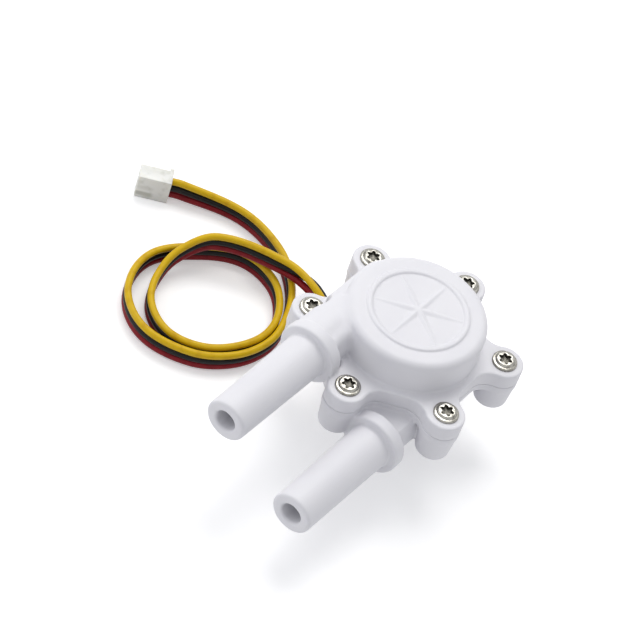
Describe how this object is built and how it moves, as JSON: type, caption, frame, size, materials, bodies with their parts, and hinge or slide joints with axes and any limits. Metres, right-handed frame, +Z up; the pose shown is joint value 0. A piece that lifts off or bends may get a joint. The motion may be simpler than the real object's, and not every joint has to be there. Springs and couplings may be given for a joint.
{
  "type": "water flow sensor",
  "caption": "Small inline water flow sensor: a screwed round plastic housing with side-by-side hose nozzles, an inner rotor with a ring magnet, and a wired lead with a plug.",
  "frame": {"origin": "centre of the sensor pocket's foot, on the rotor axis", "axes": "+Z up along the rotor axis, from the foot to the dome; the nozzles point along -Y, with the inlet on the -X side"},
  "size_m": [0.0791, 0.059, 0.026],
  "materials": {
    "housing_plastic": "satin moulded engineering plastic",
    "screw_steel": "bright plated steel",
    "seal_rubber": "matt black rubber",
    "shaft_steel": "ground stainless steel",
    "washer_plastic": "plain bearing plastic",
    "rotor_plastic": "matt white moulded plastic",
    "magnet_ferrite": "dark sintered ferrite",
    "board_laminate": "green solder mask",
    "chip_epoxy": "black moulding compound",
    "tin_plate": "tinned metal",
    "ceramic": "tan ceramic",
    "copper": "bare copper strands",
    "potting_resin": "cured dark epoxy",
    "yellow_insulation": "mustard yellow vinyl",
    "black_insulation": "black vinyl",
    "red_insulation": "dark red vinyl",
    "plug_plastic": "translucent natural nylon"
  },
  "bodies": {
    "housing": {"cover": "housing_plastic", "body": "housing_plastic", "cover_screws": "screw_steel", "seal_ring": "seal_rubber", "shaft": "shaft_steel", "lower_thrust_washer": "washer_plastic", "upper_thrust_washer": "washer_plastic", "sensor_board": "board_laminate", "hall_chip": "chip_epoxy", "hall_chip_legs": "tin_plate", "filter_capacitor": "ceramic", "pull_up_resistor": "chip_epoxy", "wire_tails": "copper", "solder_joints": "tin_plate", "potting": "potting_resin", "yellow_wire": "yellow_insulation", "black_wire": "black_insulation", "red_wire": "red_insulation", "plug_housing": "plug_plastic", "plug_contacts": "tin_plate"},
    "rotor": {"impeller": "rotor_plastic", "ring_magnet": "magnet_ferrite"}
  },
  "joints": [
    {"name": "rotor_spin", "type": "hinge", "parent": "housing", "child": "rotor", "pos_m": [0, 0, 0.0161], "axis": [0, 0, 1], "continuous": true}
  ]
}
